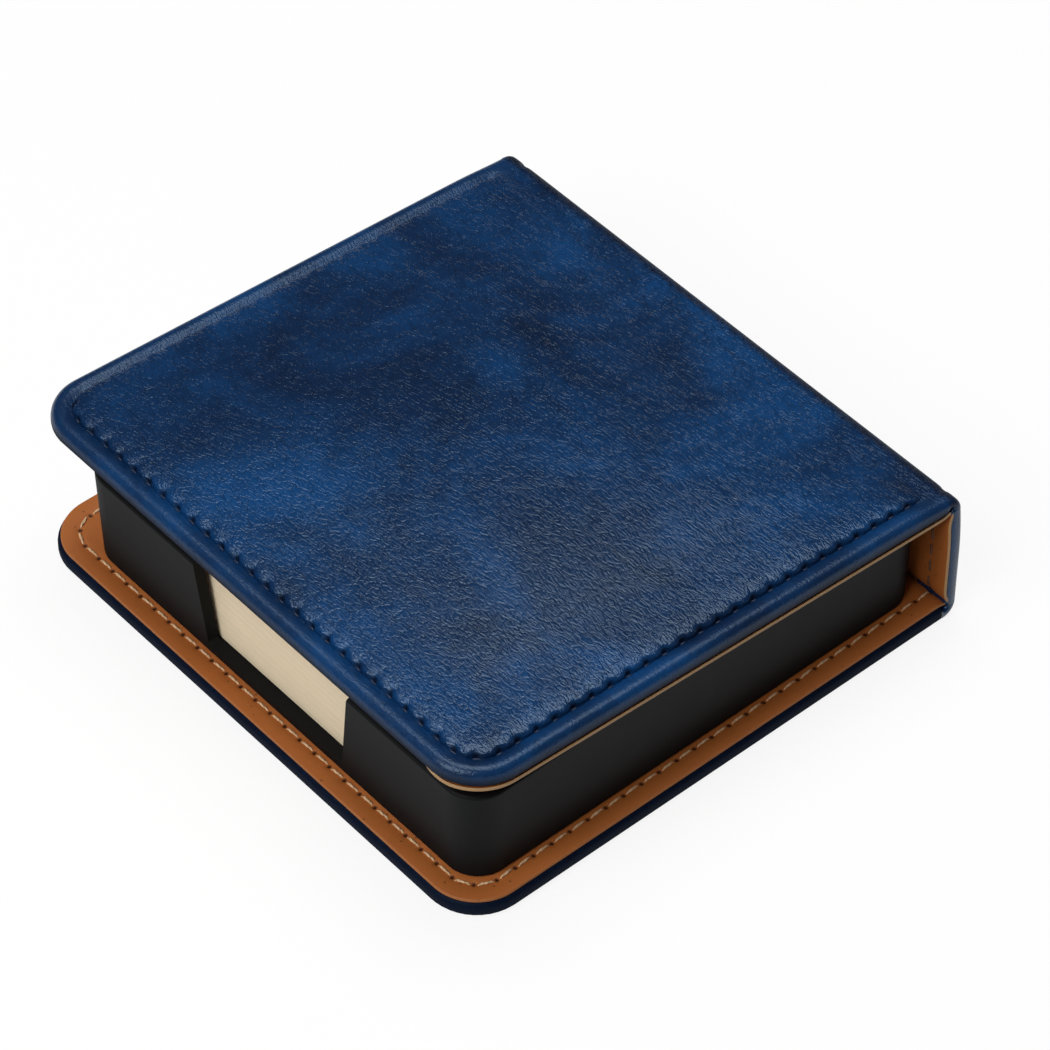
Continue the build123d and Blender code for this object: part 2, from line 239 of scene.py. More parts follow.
def piece(name, points, faces, material, wall=0.0, marks=()):
    """Mesh object from points in millimetres. A wall thickens an open skin inwards, and marks are values for its
    material, one for each point."""
    mesh = bpy.data.meshes.new(name)
    mesh.from_pydata([tuple(point) for point in np.asarray(points) / 1000], [], faces)
    for label, values in dict(marks).items():
        mesh.attributes.new(label, "FLOAT", "POINT").data.foreach_set("value", np.asarray(values, np.float32))
    thing = bpy.data.objects.new(name, mesh)
    bpy.context.scene.collection.objects.link(thing)
    if wall:
        shell = thing.modifiers.new("wall", "SOLIDIFY")
        shell.thickness = wall / 1000
        shell.offset = -1
        depsgraph = bpy.context.evaluated_depsgraph_get()
        thick = bpy.data.meshes.new_from_object(thing.evaluated_get(depsgraph))
        thing.modifiers.clear()
        thing.data = thick
        bpy.data.meshes.remove(mesh)
        thick.name = name
    thing.data.materials.clear()
    thing.data.materials.append(material)
    thing.data.shade_smooth()
    thing.data.set_sharp_from_angle(angle=radians(55))
    return thing


def free_edge(half, near, far, radius, seam, step):
    """A panel's three free sides, from the hinge's right end round to its left end: lengths along the seam, and a
    function that gives the line at any inset from the edge."""
    run = far - near - radius
    across = 2 * (half - radius)
    bend = pi / 2 * (radius - seam)
    total = 2 * run + 2 * bend + across
    along = np.linspace(0, total, ceil(total / step) + 1)
    ends = np.cumsum([run, bend, across, bend])
    part = np.searchsorted(ends, along, side="left")
    turn = np.where(part == 1, (along - run) / bend, np.where(part == 3, (along - ends[2]) / bend, 0)) * pi / 2
    heading = np.select(
        [part == 0, part == 1, part == 2, part == 3],
        [0 * turn, -turn, 0 * turn - pi / 2, -pi / 2 - turn],
        -pi,
    )
    normal = np.column_stack([np.cos(heading), np.sin(heading)])
    middle = np.zeros((len(along), 2))
    middle[:, 0] = np.select(
        [part < 2, part == 2],
        [half - radius + 0 * along, half - radius - (along - ends[1])],
        radius - half,
    )
    middle[:, 1] = np.select([part == 0, part == 4], [far - along, near + radius + along - ends[3]], near + radius)
    corner = np.sign(np.round(normal, 6))

    def line(inset):
        inset = np.broadcast_to(np.asarray(inset, float), along.shape)
        least = 0.8
        turned = np.minimum(inset, radius - least)
        rest = (inset - turned)[:, None]
        points = middle + (radius - turned)[:, None] * normal
        drawn = points.copy()
        squeeze_y = (far - points[:, 1]) * (run - rest[:, 0]) / run
        squeeze_x = points[:, 0] * (across / 2 - rest[:, 0]) / (across / 2)
        sides = (part == 0) | (part == 4)
        drawn[sides, 1] = (far - squeeze_y)[sides]
        drawn[part == 2, 0] = squeeze_x[part == 2]
        return drawn - rest * corner

    return along, line


def depth_in(points, half, near, radius):
    """How far points of a panel lie from its free edge."""
    reach = np.column_stack([np.abs(points[:, 0]) - (half - radius), near + radius - points[:, 1]])
    outside = np.hypot(*np.maximum(reach, 0).T)
    return radius - outside - np.minimum(reach.max(axis=1), 0)


def panel(name, edge, size, section, middle, plane, material, wall, spacing=2.2, marks=(), settle=None, shade=None):
    """Skin of a panel: rings round its free edge, given as insets and heights, and a filled middle whose height is a
    function of the place. The plane gives its origin and axes. Marks are given ring by ring. Settle moves the points,
    and shade paints shade onto them by their place."""
    half, near, far, radius = size
    along, line = edge
    count = len(along)
    rings = [np.column_stack([line(inset), np.broadcast_to(height, along.shape)]) for inset, height in section]
    faces = [
        (ring * count + k, ring * count + count + k, ring * count + count + k + 1, ring * count + k + 1)
        for ring in range(len(rings) - 1)
        for k in range(count - 1)
    ]
    last = rings[-1][:, :2]
    inner = float(np.max(section[-1][0]))
    hinge_x = np.linspace(last[-1, 0], last[0, 0], ceil((last[0, 0] - last[-1, 0]) / spacing) + 1)[1:-1]
    hinge_edge = np.column_stack([hinge_x, np.full(len(hinge_x), far)])
    rows = np.arange(near, far, spacing * 0.866)
    columns = np.arange(-half, half, spacing)
    grid = np.concatenate(
        [np.column_stack([columns + spacing / 2 * (i % 2), np.full(len(columns), y)]) for i, y in enumerate(rows)]
    )
    inside = (depth_in(grid, half, near, radius) > inner + 0.5 * spacing) & (grid[:, 1] < far - 0.5 * spacing)
    flat = np.concatenate([last, hinge_edge, grid[inside]])
    rim = count + len(hinge_edge)
    border = [(k, (k + 1) % rim) for k in range(rim)]
    made = delaunay_2d_cdt([Vector(point) for point in flat], border, [], 1, 1e-6)
    first = (len(rings) - 1) * count
    source = [first + origin[0] for origin in made[3]]
    faces += [tuple(source[corner] for corner in face) for face in made[2]]
    fill = np.column_stack([flat[count:], middle(flat[count:])])
    points = np.concatenate([*rings, fill])
    if settle:
        points = settle(points)
    values = {
        label: np.concatenate([*(np.broadcast_to(mark, along.shape) for mark in rows), np.zeros(len(fill))])
        for label, rows in dict(marks).items()
    }
    if shade:
        values["deep"] = np.maximum(values["deep"], shade(points))
    origin, axes = np.array(plane[0]), np.array(plane[1:])
    if np.linalg.det(axes) < 0:
        faces = [face[::-1] for face in faces]
    return piece(name, origin + points @ axes, faces, material, wall, values)


seam_inset = 3.9
low, high = (np.array(corner) * 1000 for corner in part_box("base_leather"))
base_half, base_near, base_far = high[0], low[1], high[1]
corner_radius = 9.5
base_size = (base_half, base_near, base_far, corner_radius)
base_edge = free_edge(*base_size, seam_inset, 0.8)
underneath = ((0, 0, 0), (1, 0, 0), (0, 1, 0), (0, 0, -1))
base_top = 3.0
leather_wall = 0.7
wrap = [
    (4.5, -base_top), (2.0, -base_top), (1.0, -base_top), (0.62, -2.93), (0.3, -2.72), (0.08, -2.4), (0, -2.0),
    (0, -1.0), (0.08, -0.6), (0.3, -0.28), (0.62, -0.07), (1.0, 0),
]
sewn_channel = [(2.6, 0), (3.2, -0.1), (3.6, -0.4), (3.9, -0.46), (4.2, -0.4), (4.6, -0.1), (5.2, 0)]
base_leather = panel(
    "base_leather_skin",
    base_edge,
    base_size,
    wrap + sewn_channel + [(6.5, 0), (8.0, 0)],
    lambda points: np.zeros(len(points)),
    underneath,
    leather,
    leather_wall,
    # The wrapped edge and underside are painted dark: painted shade, in part the edge's burnish.
    marks={"taut": [0.4] * 12 + [0.0] * 9, "deep": [0.95] * 11 + [0.5] + [0.0] * 9},
)
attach(base_leather, "base")
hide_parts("base_leather")

# Base lining: smooth tan leatherette glued over the turned-in leather, cut to a raw edge. It sinks in the middle, where
# no leather lies under it, and the sewing draws a groove in it.
lining, place = finish("tan_lining")
wash = place.noise(0.05, 4, 0.55, 0.4)
fine = place.noise(1.6, 3, 0.6)
speck = place.node(
    "ShaderNodeTexVoronoi", {"feature": "F1"}, {"Vector": place, "Scale": 0.42, "Randomness": 1.0}, "Distance"
)
spot = 1 - speck.limit(0.03, 0.12)
cut = place.node("ShaderNodeAttribute", {"attribute_name": "cut"}, output="Fac")
# This value marks the needle holes, which are painted dark: painted shade in them.
pierced = place.node("ShaderNodeAttribute", {"attribute_name": "pierced"}, output="Fac")
tan = (wash * 0.7 + fine * 0.3).mix((0.335, 0.095, 0.0180, 1), (0.465, 0.146, 0.0325, 1))
flecked = (spot * 0.8).mix(tan, (0.10, 0.035, 0.012, 1))
backed = (cut * (0.75 + 0.25 * fine)).mix(flecked, (0.520, 0.330, 0.160, 1))
skin_grain = place.stretch((1, 1.4, 1), 0.3)
leatherette = skin_grain.node(
    "ShaderNodeTexVoronoi", {"feature": "DISTANCE_TO_EDGE"}, {"Vector": skin_grain, "Scale": 1.9}, "Distance"
).limit(0.0, 0.2)
surface(
    place,
    leatherette * 0.5 + fine * 0.5,
    0.35,
    0.06,
    base_color=pierced.limit(0.25, 0.8).mix(backed, (0.040, 0.011, 0.004, 1)),
    roughness=0.52 + 0.12 * fine - 0.04 * leatherette,
    specular_ior_level=0.3,
)

stitch_pitch = 3.8


def near_hole(along, reach, start=0.0):
    """How near each place along a seam is to one of a row of marks a stitch apart, from 0 to 1."""
    count = round(along[-1] / stitch_pitch)
    step = along[-1] / count
    off = (along + (0.5 - start) * step) % step - step / 2
    return np.exp(-((off / reach) ** 2))


def lining_section(along, margin, top, sunk, bare):
    """Section of a lining from its raw edge inwards, with the groove that the sewing draws, and its marks: painted
    shade in the needle holes, and its cut edge, which shows as much of its pale backing as bare says."""
    hole = near_hole(along, 0.42)
    section = [
        (margin + 0.12, 0.0), (margin, 0.08), (margin, top - 0.18), (margin + 0.07, top - 0.05), (margin + 0.2, top),
        (2.4, top), (2.9, top - 0.03), (3.3, top - 0.09 - 0.03 * hole), (3.6, top - 0.15 - 0.12 * hole),
        (3.9, top - 0.17 - 0.22 * hole), (4.2, top - 0.15 - 0.12 * hole), (4.5, top - 0.09 - 0.03 * hole),
        (4.9, top - 0.03), (5.4, top), (8.0, top), (12.0, top), (12.35, top - 0.3 * sunk), (12.7, top - sunk),
        (13.5, top - sunk),
    ]
    marks = {
        "cut": [bare, bare, bare, 0.9 * bare] + [0.0] * 15,
        "pierced": [0.0] * 7 + [0.1 * hole, 0.75 * hole, hole, 0.75 * hole, 0.1 * hole] + [0.0] * 7,
    }
    return section, marks


def tucked_rear(points):
    """Lets a lining dip towards the hinge."""
    over = np.clip(points[:, 1] - (points[:, 1].max() - 2.0), 0, 2.0)
    points[:, 2] -= 0.11 * over**2
    return points


on_base = ((0, 0, base_top), (1, 0, 0), (0, 1, 0), (0, 0, 1))
lining_thickness = 0.6
lining_wall = 0.3
sunk_depth = 0.4
lining_run = 1.3
lining_size = (base_half, base_near, base_far + lining_run, corner_radius)
fine_edge = free_edge(*lining_size, seam_inset, 0.3)
section, marks = lining_section(fine_edge[0], 0.60, lining_thickness, sunk_depth, 0.15)
base_lining = panel(
    "base_lining_sheet",
    fine_edge,
    lining_size,
    section,
    lambda points: np.full(len(points), lining_thickness - sunk_depth),
    on_base,
    lining,
    lining_wall,
    4.0,
    marks,
    tucked_rear,
)
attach(base_lining, "base")
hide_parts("base_lining")

# Seams: waxed thread, pale inside on the lining (darker on the spine's lining) and dark blue outside on the leather.
# Each stitch rises from one needle hole, lies a little askew on the surface and dives into the next.
stitch_rings, stitch_sides = 8, 6
stitch_length, thread_width = 2.85, 0.44


def stitch_mesh():
    """One stitch along X: a two-ply thread that bends down at both ends."""
    points, faces = [], []
    for ring in range(stitch_rings):
        share = ring / (stitch_rings - 1) * 2 - 1
        x = stitch_length / 2 * share
        rise = 0.14 * (1 - abs(share) ** 5) - 0.28 * abs(share) ** 6
        girth = thread_width / 2 * (1 - 0.35 * abs(share) ** 4)
        for side in range(stitch_sides):
            angle = 2 * pi * side / stitch_sides
            ply = 1 + 0.16 * cos(2 * angle + 3.4 * x)
            points.append((x, girth * ply * cos(angle), rise + 0.8 * girth * ply * sin(angle)))
    for ring in range(stitch_rings - 1):
        for side in range(stitch_sides):
            a, b = ring * stitch_sides + side, ring * stitch_sides + (side + 1) % stitch_sides
            faces.append((a, a + stitch_sides, b + stitch_sides, b))
    faces.append(tuple(range(stitch_sides)))
    faces.append(tuple(reversed(range(len(points) - stitch_sides, len(points)))))
    return points, faces


def thread(name, dark, light):
    """Waxed thread: two plies seen as slanting bands."""
    material, place = finish(name)
    ply = place.node(
        "ShaderNodeTexWave",
        {"bands_direction": "DIAGONAL"},
        {"Vector": place, "Scale": 0.6, "Distortion": 1.5},
        "Fac",
    )
    fuzz = place.noise(5.0, 2)
    surface(
        place,
        ply * 0.7 + fuzz * 0.3,
        0.5,
        0.08,
        base_color=(ply * 0.55 + fuzz * 0.45).mix(dark, light),
        roughness=0.5 + 0.2 * fuzz,
    )
    return material


pale_thread = thread("pale_thread", (0.52, 0.30, 0.15, 1), (0.86, 0.60, 0.36, 1))
dark_thread = thread("dark_thread", (0.004, 0.009, 0.03, 1), (0.014, 0.035, 0.10, 1))
# The stitches on the spine's lining are drawn in a darker thread than the pale one on the other linings.
brown_thread = thread("brown_thread", (0.05, 0.020, 0.008, 1), (0.17, 0.07, 0.028, 1))

points, faces = stitch_mesh()
one_stitch = piece("one_stitch", points, faces, pale_thread)

sewing = bpy.data.node_groups.new("sewn_row", "GeometryNodeTree")
sewing.is_modifier = True
sewing_inputs = {}
for label, kind in (
    ("Row", "NodeSocketGeometry"),
    ("Stitch", "NodeSocketObject"),
    ("Pitch", "NodeSocketFloat"),
    ("Slant", "NodeSocketFloat"),
    ("Unevenness", "NodeSocketFloat"),
    ("Face", "NodeSocketVector"),
    ("Thread", "NodeSocketMaterial"),
    ("Seed", "NodeSocketInt"),
):
    sewing_inputs[label] = sewing.interface.new_socket(label, in_out="INPUT", socket_type=kind).identifier
sewing.interface.new_socket("Stitches", in_out="OUTPUT", socket_type="NodeSocketGeometry")


def add_node(tree, kind, settings=(), sockets=()):
    """Geometry node with its settings and the values or links of its sockets."""
    made = tree.nodes.new(kind)
    for name, value in dict(settings).items():
        setattr(made, name, value)
    for name, value in dict(sockets).items():
        if isinstance(value, bpy.types.NodeSocket):
            tree.links.new(value, made.inputs[name])
        else:
            made.inputs[name].default_value = value
    return made


given = add_node(sewing, "NodeGroupInput").outputs
spots = add_node(
    sewing, "GeometryNodeCurveToPoints", {"mode": "LENGTH"}, {0: given["Row"], "Length": given["Pitch"]}
).outputs
upright = add_node(
    sewing, "FunctionNodeAlignRotationToVector", {"axis": "Z"}, {"Vector": given["Face"]}
).outputs[0]
headed = add_node(
    sewing,
    "FunctionNodeAlignRotationToVector",
    {"axis": "X", "pivot_axis": "Z"},
    {"Rotation": upright, "Vector": spots["Tangent"]},
).outputs[0]
wobble = add_node(
    sewing,
    "FunctionNodeRandomValue",
    {"data_type": "FLOAT"},
    {2: -1.0, 3: 1.0, "Seed": given["Seed"]},
).outputs[1]
lean = add_node(
    sewing,
    "ShaderNodeMath",
    {"operation": "MULTIPLY_ADD"},
    {0: wobble, 1: given["Unevenness"], 2: given["Slant"]},
).outputs[0]
spin = add_node(sewing, "ShaderNodeCombineXYZ", {}, {"Z": lean}).outputs[0]
spin_turn = add_node(sewing, "FunctionNodeEulerToRotation", {}, {0: spin}).outputs[0]
turned = add_node(
    sewing, "FunctionNodeRotateRotation", {"rotation_space": "LOCAL"}, {"Rotation": headed, "Rotate By": spin_turn}
).outputs[0]
shape = add_node(sewing, "GeometryNodeObjectInfo", {}, {"Object": given["Stitch"]}).outputs["Geometry"]
laid = add_node(
    sewing, "GeometryNodeInstanceOnPoints", {}, {"Points": spots["Points"], "Instance": shape, "Rotation": turned}
).outputs[0]
solid = add_node(sewing, "GeometryNodeRealizeInstances", {}, {0: laid}).outputs[0]
dyed = add_node(sewing, "GeometryNodeSetMaterial", {}, {"Geometry": solid, "Material": given["Thread"]}).outputs[0]
add_node(sewing, "NodeGroupOutput", {}, {0: dyed})


def plain_mesh(thing, name):
    """Turns an object with modifiers into a plain mesh object and removes the old one."""
    depsgraph = bpy.context.evaluated_depsgraph_get()
    made = bpy.data.meshes.new_from_object(thing.evaluated_get(depsgraph))
    made.name = name
    old = thing.data
    bpy.data.objects.remove(thing)
    if isinstance(old, bpy.types.Curve):
        bpy.data.curves.remove(old)
    else:
        bpy.data.meshes.remove(old)
    result = bpy.data.objects.new(name, made)
    bpy.context.scene.collection.objects.link(result)
    made.shade_smooth()
    return result


def sew(name, rows, face, material, pitch, slant, uneven, seed):
    """Rows of stitches along lines of points in millimetres, on a surface that faces a direction."""
    curve = bpy.data.curves.new(name + "_row", "CURVE")
    curve.dimensions = "3D"
    for row in rows:
        spline = curve.splines.new("POLY")
        spline.points.add(len(row) - 1)
        for point, spot in zip(spline.points, row):
            point.co = (*(np.asarray(spot) / 1000), 1)
    rowed = bpy.data.objects.new(name + "_row", curve)
    bpy.context.scene.collection.objects.link(rowed)
    worked = rowed.modifiers.new("sewn", "NODES")
    worked.node_group = sewing
    for label, value in {
        "Stitch": one_stitch,
        "Pitch": pitch / 1000,
        "Slant": slant,
        "Unevenness": uneven,
        "Face": face,
        "Thread": material,
        "Seed": seed,
    }.items():
        worked[sewing_inputs[label]] = value
    return plain_mesh(rowed, name)


def seam_row(edge, height, plane):
    """Line of a panel's seam, from the middle of its first stitch to the middle of its last, and its pitch."""
    along, line = edge
    count = round(along[-1] / stitch_pitch)
    pitch = along[-1] / count
    flat = line(seam_inset)
    wanted = np.linspace(pitch / 2, along[-1] - pitch / 2, 8 * count)
    places = np.column_stack([np.interp(wanted, along, flat[:, i]) for i in (0, 1)] + [np.full(len(wanted), height)])
    origin, axes = np.array(plane[0]), np.array(plane[1:])
    return origin + places @ axes, pitch * 0.9999


thread_bed = 0.10
row, pitch = seam_row(fine_edge, lining_thickness - thread_bed, on_base)
base_inside_seam = sew("base_inside_seam", [row], (0, 0, 1), pale_thread, pitch, radians(3), radians(2), 3)
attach(base_inside_seam, "base")
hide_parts("base_thread_inside")

row, pitch = seam_row(base_edge, -0.50, underneath)
base_outside_seam = sew("base_outside_seam", [row], (0, 0, -1), dark_thread, pitch, radians(7), radians(3), 4)
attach(base_outside_seam, "base")
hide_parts("base_thread_outside")

# Tray and its tape: the tray is moulded in satin black plastic with draft and round corners, and stuck down on the
# lining with a sheet of double-sided tape.
plastic, place = finish("satin_black_plastic")
skin_noise = place.noise(2.2, 3, 0.55)
scuff = place.stretch((0.3, 1, 1), 0.7).noise(0.25, 4, 0.6)
surface(
    place,
    skin_noise,
    0.25,
    0.03,
    dull=0.5,
    base_color=scuff.mix((0.0050, 0.0056, 0.0062, 1), (0.0075, 0.0082, 0.0090, 1)),
    roughness=0.42 + 0.10 * scuff + 0.05 * skin_noise,
    specular_ior_level=0.2,
)
tape, place = finish("tape_film")
film = place.noise(0.4, 3)
surface(
    place,
    film,
    0.1,
    0.03,
    base_color=film.mix((0.68, 0.66, 0.58, 1), (0.76, 0.74, 0.66, 1)),
    roughness=0.4 + 0.1 * film,
)
for node, material in (("tray", plastic), ("tray_tape", tape)):
    frame["nodes"][node].data.materials.clear()
    frame["nodes"][node].data.materials.append(material)

# Note sheets: a pad of loose cream paper, cut square and stood in the tray with nothing to hold it. Each sheet lies a
# hair out of line with the next.
paper, place = finish("cream_paper")
fleck = place.noise(2.5, 4, 0.65)
tint = place.stretch((0.02, 0.02, 6.0)).noise(1.0, 2)
surface(
    place,
    fleck,
    0.2,
    0.03,
    base_color=(fleck * 0.7 + tint * 0.3).mix((0.880, 0.745, 0.530, 1), (0.930, 0.795, 0.580, 1)),
    roughness=0.75 + 0.15 * fleck,
    specular_ior_level=0.3,
)
sheet_count = 160
pad_low, pad_high = (np.array(corner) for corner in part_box("note_sheets"))
stacking = bpy.data.node_groups.new("stacked_sheets", "GeometryNodeTree")
stacking.is_modifier = True
stacking_inputs = {}
for label, kind in (
    ("Side", "NodeSocketFloat"),
    ("Height", "NodeSocketFloat"),
    ("Sheets", "NodeSocketInt"),
    ("Slip", "NodeSocketVector"),
    ("Foot", "NodeSocketVector"),
    ("Paper", "NodeSocketMaterial"),
    ("Seed", "NodeSocketInt"),
):
    stacking_inputs[label] = stacking.interface.new_socket(label, in_out="INPUT", socket_type=kind).identifier
stacking.interface.new_socket("Pad", in_out="OUTPUT", socket_type="NodeSocketGeometry")
given = add_node(stacking, "NodeGroupInput").outputs
ply = add_node(stacking, "ShaderNodeMath", {"operation": "DIVIDE"}, {0: given["Height"], 1: given["Sheets"]}).outputs[0]
up = add_node(stacking, "ShaderNodeCombineXYZ", {}, {"Z": ply}).outputs[0]
half_up = add_node(stacking, "ShaderNodeVectorMath", {"operation": "SCALE"}, {0: up, "Scale": 0.5}).outputs[0]
bottom = add_node(stacking, "ShaderNodeVectorMath", {"operation": "ADD"}, {0: given["Foot"], 1: half_up}).outputs[0]
levels = add_node(
    stacking,
    "GeometryNodeMeshLine",
    {"mode": "OFFSET"},
    {"Count": given["Sheets"], "Start Location": bottom, "Offset": up},
).outputs[0]
back = add_node(stacking, "ShaderNodeVectorMath", {"operation": "SCALE"}, {0: given["Slip"], "Scale": -1.0}).outputs[0]
slip = add_node(
    stacking,
    "FunctionNodeRandomValue",
    {"data_type": "FLOAT_VECTOR"},
    {0: back, 1: given["Slip"], "Seed": given["Seed"]},
).outputs[0]
shuffled = add_node(stacking, "GeometryNodeSetPosition", {}, {"Geometry": levels, "Offset": slip}).outputs[0]
size = add_node(stacking, "ShaderNodeCombineXYZ", {}, {"X": given["Side"], "Y": given["Side"], "Z": ply}).outputs[0]
sheet = add_node(stacking, "GeometryNodeMeshCube", {}, {"Size": size}).outputs[0]
pile = add_node(stacking, "GeometryNodeInstanceOnPoints", {}, {"Points": shuffled, "Instance": sheet}).outputs[0]
solid = add_node(stacking, "GeometryNodeRealizeInstances", {}, {0: pile}).outputs[0]
papered = add_node(stacking, "GeometryNodeSetMaterial", {}, {"Geometry": solid, "Material": given["Paper"]}).outputs[0]
add_node(stacking, "NodeGroupOutput", {}, {0: papered})

pad = bpy.data.objects.new("pad", bpy.data.meshes.new("pad"))
bpy.context.scene.collection.objects.link(pad)
stacked = pad.modifiers.new("stacked", "NODES")
stacked.node_group = stacking
for label, value in {
    "Side": float(pad_high[0] - pad_low[0]) - 0.0002,
    "Height": float(pad_high[2] - pad_low[2]),
    "Sheets": sheet_count,
    "Slip": (0.00003, 0.000012, 0.0),
    "Foot": (float(pad_low[0] + pad_high[0]) / 2, float(pad_low[1] + pad_high[1]) / 2, float(pad_low[2])),
    "Paper": paper,
    "Seed": 11,
}.items():
    stacked[stacking_inputs[label]] = value
pad = plain_mesh(pad, "note_pad")
pad.data.shade_flat()
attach(pad, "base")
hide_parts("note_sheets")

# Spine: the same leather wrapped round a narrow card, with the lining glued inside over its turned-in ends and a short
# row of stitches near each end.
spine_low, spine_high = (np.array(corner) * 1000 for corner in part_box("spine_leather"))
spine_half, spine_back = spine_high[0], spine_high[1]
spine_bottom, spine_top = spine_low[2], spine_high[2]
leather_over_card = 0.8
lid_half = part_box("lid_board")[1][0] * 1000 + leather_over_card


def strip(name, stations, material, wall, marks=(), spacing=2.5, dark=None):
    """Skin of a strip that crosses the case. Each station is a point in the side view with its outward direction, the
    strip's half width there and its end's section: insets from the end and depths below the face. Dark is how much
    painted shade each station gets."""
    points = []
    for y, z, out_y, out_z, half, section in stations:
        ends = [(half - inset, depth) for inset, depth in section]
        inner = ends[-1][0]
        flat = [(x, ends[-1][1]) for x in np.linspace(inner, -inner, ceil(2 * spine_half / spacing))[1:-1]]
        row = ends + flat + [(-x, depth) for x, depth in reversed(ends)]
        points += [(x, y - depth * out_y, z - depth * out_z) for x, depth in row]
    count = len(row)
    faces = [
        (k * count + i, k * count + i + 1, k * count + count + i + 1, k * count + count + i)
        for k in range(len(stations) - 1)
        for i in range(count - 1)
    ]
    values = {
        label: np.tile(np.concatenate([mark, np.full(len(flat), mark[-1]), mark[::-1]]), len(stations))
        for label, mark in dict(marks).items()
    }
    if dark is not None:
        values["deep"] = np.repeat(dark, count)
    return piece(name, points, faces, material, wall, values)


def spine_width(z):
    """Half width of the spine, drawn in at its top to the lid's."""
    rise = np.clip((z - spine_top + 10.0) / 10.0, 0, 1)
    return spine_half + (lid_half - spine_half) * rise * rise


def between(first, last, share):
    """Section part of the way from one to another."""
    return np.array(first) * (1 - share) + np.array(last) * share


base_end = [(inset, -height) for inset, height in wrap + sewn_channel]
spine_reach = 2.4
spine_end = [
    (7.0, spine_reach), (2.0, spine_reach), (0.9, spine_reach), (0.55, 2.33), (0.25, 2.11), (0.06, 1.78), (0, 1.44),
    (0, 0.86), (0.06, 0.53), (0.25, 0.22), (0.55, 0.05), (0.95, 0), (2.6, 0), (3.2, 0.1), (3.6, 0.4), (3.9, 0.46),
    (4.2, 0.4), (4.6, 0.1), (5.2, 0),
]
taut_end = {"taut": [0.5] * 12 + [0.0] * 7}
spine_leather = strip(
    "spine_leather_skin",
    [(spine_back, z, 1, 0, spine_width(z), spine_end) for z in np.linspace(spine_bottom, spine_top, 16)],
    leather,
    leather_wall,
    taut_end,
)
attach(spine_leather, "spine")
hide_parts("spine_leather")

spine_face = spine_back - spine_reach - lining_thickness
lining_end = np.array([
    (0.30, 0.6), (0.15, 0.5), (0.15, 0.15), (0.22, 0.04), (0.4, 0.0),
    (2.4, 0), (3.3, 0.07), (3.9, 0.15), (4.5, 0.07), (5.4, 0),
])
cut_end = {"cut": [1.0, 1.0, 1.0, 0.9] + [0.0] * 6}
flare = []
for z in np.linspace(spine_top + 0.2, spine_bottom - 0.2, 41):
    rise = min(spine_top + 0.2 - z, z - spine_bottom + 0.2)
    bow = max(0.0, 1 - rise / 3.6)
    flare.append((spine_face + 1.25 * bow**2, z, -1, 0, spine_width(z), lining_end))
spine_lining = strip("spine_lining_sheet", flare, lining, lining_wall, cut_end)
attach(spine_lining, "spine")
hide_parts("spine_lining")

spine_count = int((spine_top - spine_bottom) / stitch_pitch)
spine_middle = (spine_top + spine_bottom) / 2
stitch_reach = (spine_count - 1) / 2 * stitch_pitch
spine_rows = {
    "inside": (spine_face + 0.08, (0, -1, 0), brown_thread, "tan_thread"),
    "outside": (spine_back - 0.5, (0, 1, 0), dark_thread, "blue_thread"),
}
for side, (y, face, material, slot) in spine_rows.items():
    rows = [
        [(x, y, z) for z in np.linspace(spine_middle - stitch_reach, spine_middle + stitch_reach, 40)]
        for x in (seam_inset - spine_half, spine_half - seam_inset)
    ]
    spine_seam = sew("spine_" + side + "_seam", rows, face, material, stitch_pitch * 0.9999, radians(5), radians(3), 5)
    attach(spine_seam, "spine")
    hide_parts("spine_thread_" + side)

# Hinges: the leather and the lining run on from panel to panel with no card in them, so they bend there. Each strip
# follows the panels at its two edges and turns evenly between them.
hinge = {joint["name"]: np.array(joint["pos_m"]) * 1000 for joint in frame["joints"]}
hinge_y, hinge_z = hinge["lid_hinge"][1:]
lid_tilt = radians(3.1)
hinge_inset = spine_back - hinge_y
hinge_radius = spine_bottom


def lid_point(along, up):
    """Point of the side view, from its place in the lid's own plane."""
    return (hinge_y + along * cos(lid_tilt) + up * sin(lid_tilt), hinge_z - along * sin(lid_tilt) + up * cos(lid_tilt))


lid_rear = hinge_inset - hinge_radius
lower_arc = [
    (base_far + hinge_radius * sin(a), hinge_radius - hinge_radius * cos(a), sin(a), -cos(a), t)
    for t in np.linspace(0, 1, 15)
    for a in [t * pi / 2]
]
start = np.array([spine_back, spine_top])
rear_droop = 0.5
end = np.array(lid_point(lid_rear, hinge_inset - rear_droop))
upper_turn = pi / 2 - lid_tilt
full = np.array([-hinge_radius * (1 - cos(upper_turn)), hinge_radius * sin(upper_turn)])
upper_arc = []
for t in np.linspace(0, 1, 15):
    a = t * upper_turn
    chord = np.array([-hinge_radius * (1 - cos(a)), hinge_radius * sin(a)])
    y, z = start + chord + t * t * (3 - 2 * t) * (end - start - full)
    upper_arc.append((y, z, cos(a), sin(a), t))

lid_depth = 3.3
lid_end = [
    (4.5, lid_depth), (2.0, lid_depth), (1.0, lid_depth), (0.6, 3.22), (0.26, 3.0), (0.06, 2.7), (0, 2.3), (0, 1.75),
    (0.08, 1.2), (0.3, 0.7), (0.66, 0.32), (1.1, 0.1), (1.6, 0), (2.1, 0), (2.6, 0), (3.2, 0), (3.9, 0), (4.6, 0),
    (5.2, 0),
]
hinge_end = np.array(lid_end) * (1, 1 - rear_droop / lid_depth)


def waisted(first, last, t):
    """A hinge's end section: the panels' own at its edges, and shallower at the bend, where there's no card."""
    return between(first, last, t) * (1, 1 - 0.42 * sin(pi * t) ** 0.7)


